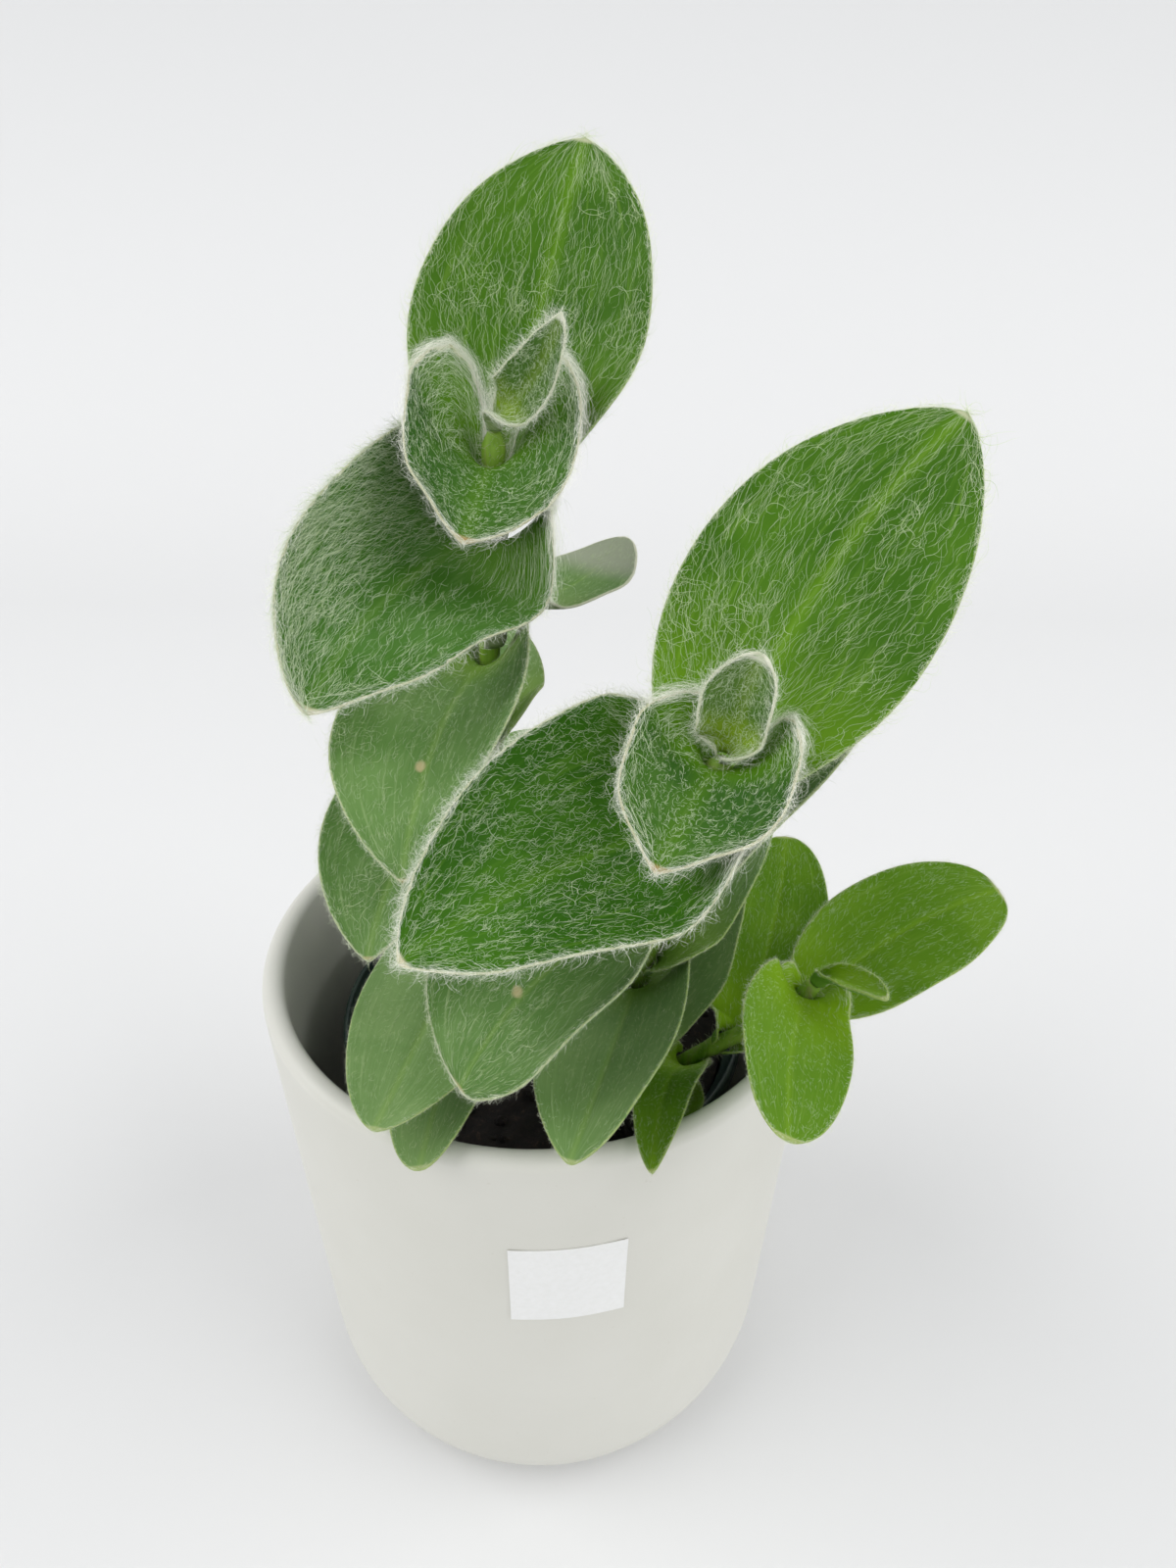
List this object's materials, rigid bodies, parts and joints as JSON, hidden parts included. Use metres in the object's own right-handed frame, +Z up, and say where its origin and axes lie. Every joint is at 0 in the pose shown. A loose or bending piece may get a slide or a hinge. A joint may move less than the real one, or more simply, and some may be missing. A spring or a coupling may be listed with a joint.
{
  "type": "potted tradescantia",
  "caption": "Leafy tradescantia with broad woolly leaves on upright shoots, in a nursery pot inside a round glazed planter that rests on its flat foot",
  "frame": {"origin": "the centre of the planter's flat underside", "axes": "+Z is up; -Y is the front, which bears the label; +X is the right of a viewer who faces the front"},
  "size_m": [0.1474, 0.1319, 0.2715],
  "materials": {
    "planter": "satin",
    "nursery_pot": "satin",
    "soil": "matte",
    "label": "matte",
    "stems": "matte",
    "leaves": "matte",
    "young_leaves": "matte"
  },
  "bodies": {
    "root": {"left_leaf_back_1": "leaves", "left_leaf_back_2": "leaves", "left_leaf_back_3": "leaves", "left_leaf_back_4": "leaves", "left_leaf_back_5": "leaves", "left_leaf_bud": "young_leaves", "left_leaf_front_1": "young_leaves", "left_leaf_front_2": "leaves", "left_leaf_front_3": "leaves", "left_leaf_front_4": "leaves", "left_leaf_front_5": "leaves", "left_leaf_front_6": "leaves", "left_stem": "stems", "nursery_pot": "nursery_pot", "paper_label": "label", "planter": "planter", "right_leaf_back_1": "leaves", "right_leaf_back_2": "leaves", "right_leaf_back_3": "leaves", "right_leaf_back_4": "leaves", "right_leaf_bud": "young_leaves", "right_leaf_front_1": "young_leaves", "right_leaf_front_2": "leaves", "right_leaf_front_3": "leaves", "right_leaf_front_4": "leaves", "right_stem": "stems", "side_leaf_back_1": "leaves", "side_leaf_back_2": "leaves", "side_leaf_bud": "young_leaves", "side_leaf_front_1": "leaves", "side_leaf_front_2": "leaves", "side_leaf_front_3": "leaves", "side_stem": "stems", "soil": "soil"}
  },
  "joints": []
}
